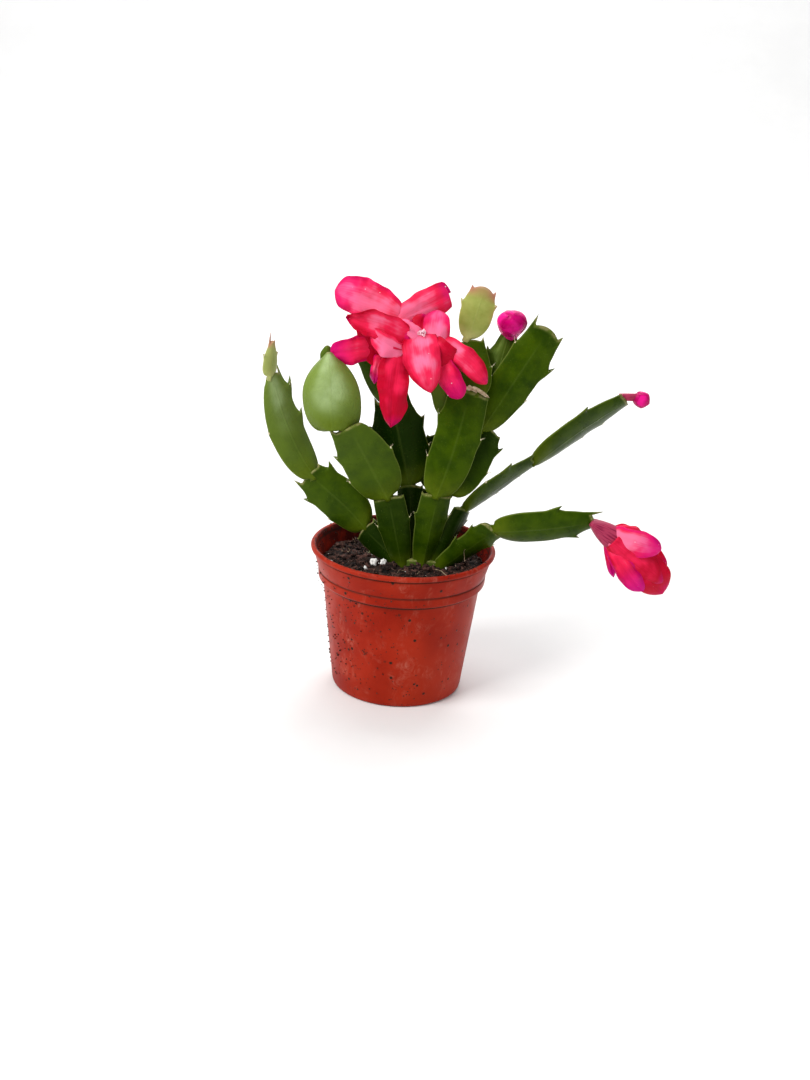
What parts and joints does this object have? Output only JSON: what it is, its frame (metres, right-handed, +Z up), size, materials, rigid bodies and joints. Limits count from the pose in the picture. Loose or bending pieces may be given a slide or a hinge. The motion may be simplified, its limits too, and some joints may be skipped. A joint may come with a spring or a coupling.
{
  "type": "potted christmas cactus",
  "caption": "Small flowering Christmas cactus with flat toothed stem segments, an open bloom, a half-open bloom and buds, in a plain terracotta-coloured plastic nursery pot.",
  "frame": {"origin": "middle of the pot's flat underside, where it rests", "axes": "+Z up along the pot's axis; +X to the right, towards the half-open bloom; -Y towards the viewer"},
  "size_m": [0.1333, 0.06, 0.1341],
  "materials": {
    "pot": "satin",
    "soil": "matte",
    "perlite": "matte",
    "stem": "satin",
    "young_stem": "satin",
    "petal": "satin",
    "stamen": "matte",
    "bud": "satin"
  },
  "bodies": {
    "root": {"pot": "pot", "soil": "soil", "perlite_large": "perlite", "perlite_middle": "perlite", "perlite_small": "perlite", "stem_base": "stem", "branch_far_left": "stem", "branch_left": "stem", "branch_back": "stem", "branch_behind": "stem", "branch_centre": "stem", "branch_right": "stem", "branch_far_right": "stem", "branch_low_right": "stem", "young_segment_left": "young_stem", "young_segment_top": "young_stem", "open_flower": "petal", "flower_stamens": "stamen", "half_open_flower": "petal", "round_bud": "bud", "small_bud": "bud"}
  },
  "joints": []
}
